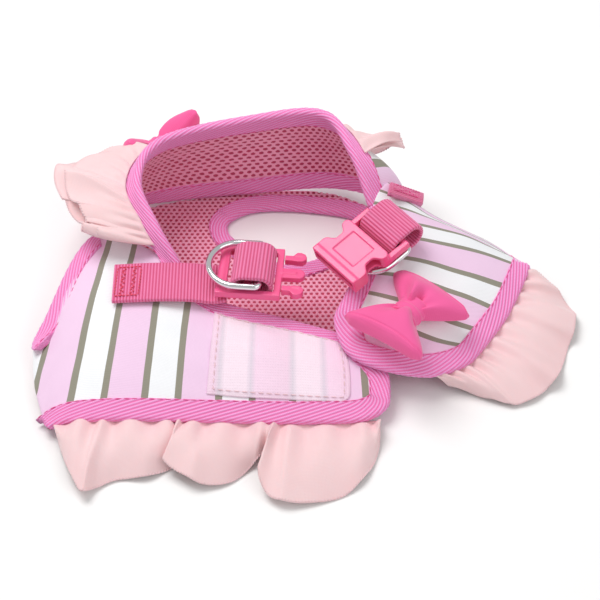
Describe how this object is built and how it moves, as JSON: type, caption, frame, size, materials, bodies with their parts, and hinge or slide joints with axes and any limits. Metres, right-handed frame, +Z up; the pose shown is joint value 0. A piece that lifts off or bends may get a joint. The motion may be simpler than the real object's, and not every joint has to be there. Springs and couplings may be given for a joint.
{
  "type": "safety harness vest",
  "caption": "Small dog harness vest with striped wrap panels, mesh lining, taped edges, ruffles, bows, D-rings and a side release buckle.",
  "frame": {"origin": "on the underside of the belly panel, where the vest lies on the floor, near its middle", "axes": "+X from the wearer's left side to the right side as the vest lies on its belly, +Y towards the chest and head, +Z up from the floor"},
  "size_m": [0.2174, 0.1791, 0.0503],
  "materials": {
    "striped_cloth": "matte woven print",
    "air_mesh": "open knit",
    "binding_tape": "ribbed twill",
    "loop_tape": "brushed loop pile",
    "hook_tape": "hook pile",
    "ruffle_cloth": "matte woven",
    "bow_cloth": "matte woven",
    "webbing": "ribbed weave",
    "ring_steel": "polished",
    "buckle_plastic": "moulded gloss"
  },
  "bodies": {
    "vest": {"chest_shell": "striped_cloth", "chest_lining": "air_mesh", "chest_neck_binding": "binding_tape", "chest_leg_binding": "binding_tape", "belly_shell": "striped_cloth", "belly_lining": "air_mesh", "leg_hole_binding": "binding_tape", "side_shell": "striped_cloth", "side_lining": "air_mesh", "side_rear_binding": "binding_tape", "left_wing_shell": "striped_cloth", "left_wing_lining": "air_mesh", "left_neck_binding": "binding_tape", "left_end_binding": "binding_tape", "left_rear_binding": "binding_tape", "left_leg_binding": "binding_tape", "loop_patch": "loop_tape", "left_skirt_ruffle": "ruffle_cloth", "collar_ruffle_upper": "ruffle_cloth", "collar_ruffle_lower": "ruffle_cloth", "chest_bow_loops": "bow_cloth", "chest_bow_knot": "bow_cloth", "left_strap": "webbing", "right_strap": "webbing"},
    "right_flap": {"flap_shell": "striped_cloth", "flap_lining": "air_mesh", "flap_neck_binding": "binding_tape", "flap_end_binding": "binding_tape", "flap_rear_binding": "binding_tape", "hook_patch": "hook_tape", "right_skirt_ruffle": "ruffle_cloth", "back_bow_loops": "bow_cloth", "back_bow_knot": "bow_cloth", "right_loop": "webbing"},
    "right_ring": {"right_ring": "ring_steel"},
    "female_buckle": {"female_body": "buckle_plastic"},
    "left_tab": {"left_strap_end": "webbing", "left_loop": "webbing"},
    "left_ring": {"left_ring": "ring_steel"},
    "male_buckle": {"male_base": "buckle_plastic"},
    "rear_prong": {"rear_prong": "buckle_plastic"},
    "front_prong": {"front_prong": "buckle_plastic"}
  },
  "joints": [
    {"name": "flap_lift", "type": "hinge", "parent": "vest", "child": "right_flap", "pos_m": [0.04, 0.026, 0.028], "axis": [-0.9249, 0.22, 0.31], "range_deg": [0, 38]},
    {"name": "right_ring_turn", "type": "hinge", "parent": "right_flap", "child": "right_ring", "pos_m": [0.03569, 0.01225, 0.03392], "axis": [-0.6293, 0.7771, 0], "range_deg": [0, 35]},
    {"name": "female_buckle_lift", "type": "hinge", "parent": "right_ring", "child": "female_buckle", "pos_m": [0.0341, 0.01096, 0.03771], "axis": [-0.6293, 0.7771, 0], "range_deg": [0, 60]},
    {"name": "left_tab_lift", "type": "hinge", "parent": "vest", "child": "left_tab", "pos_m": [-0.0487, -0.0085, 0.0289], "axis": [-0.0872, -0.9962, 0], "range_deg": [0, 50]},
    {"name": "left_ring_turn", "type": "hinge", "parent": "left_tab", "child": "left_ring", "pos_m": [-0.01501, -0.00576, 0.0343], "axis": [0.0872, 0.9962, 0], "range_deg": [0, 85]},
    {"name": "male_buckle_lift", "type": "hinge", "parent": "left_tab", "child": "male_buckle", "pos_m": [-0.01999, -0.00533, 0.0298], "axis": [-0.0872, -0.9962, 0], "range_deg": [0, 7]},
    {"name": "rear_prong_flex", "type": "hinge", "parent": "male_buckle", "child": "rear_prong", "pos_m": [-0.00615, 0.00149, 0.0298], "axis": [0, 0, -1], "range_deg": [0, 7], "stiffness_Nm_per_rad": 0.03},
    {"name": "front_prong_flex", "type": "hinge", "parent": "male_buckle", "child": "front_prong", "pos_m": [-0.00754, -0.01445, 0.0298], "axis": [0, 0, -1], "range_deg": [-7, 0], "stiffness_Nm_per_rad": 0.03}
  ],
  "couplings": [
    {"joint": "front_prong_flex", "follows": "rear_prong_flex", "ratio": -1}
  ]
}
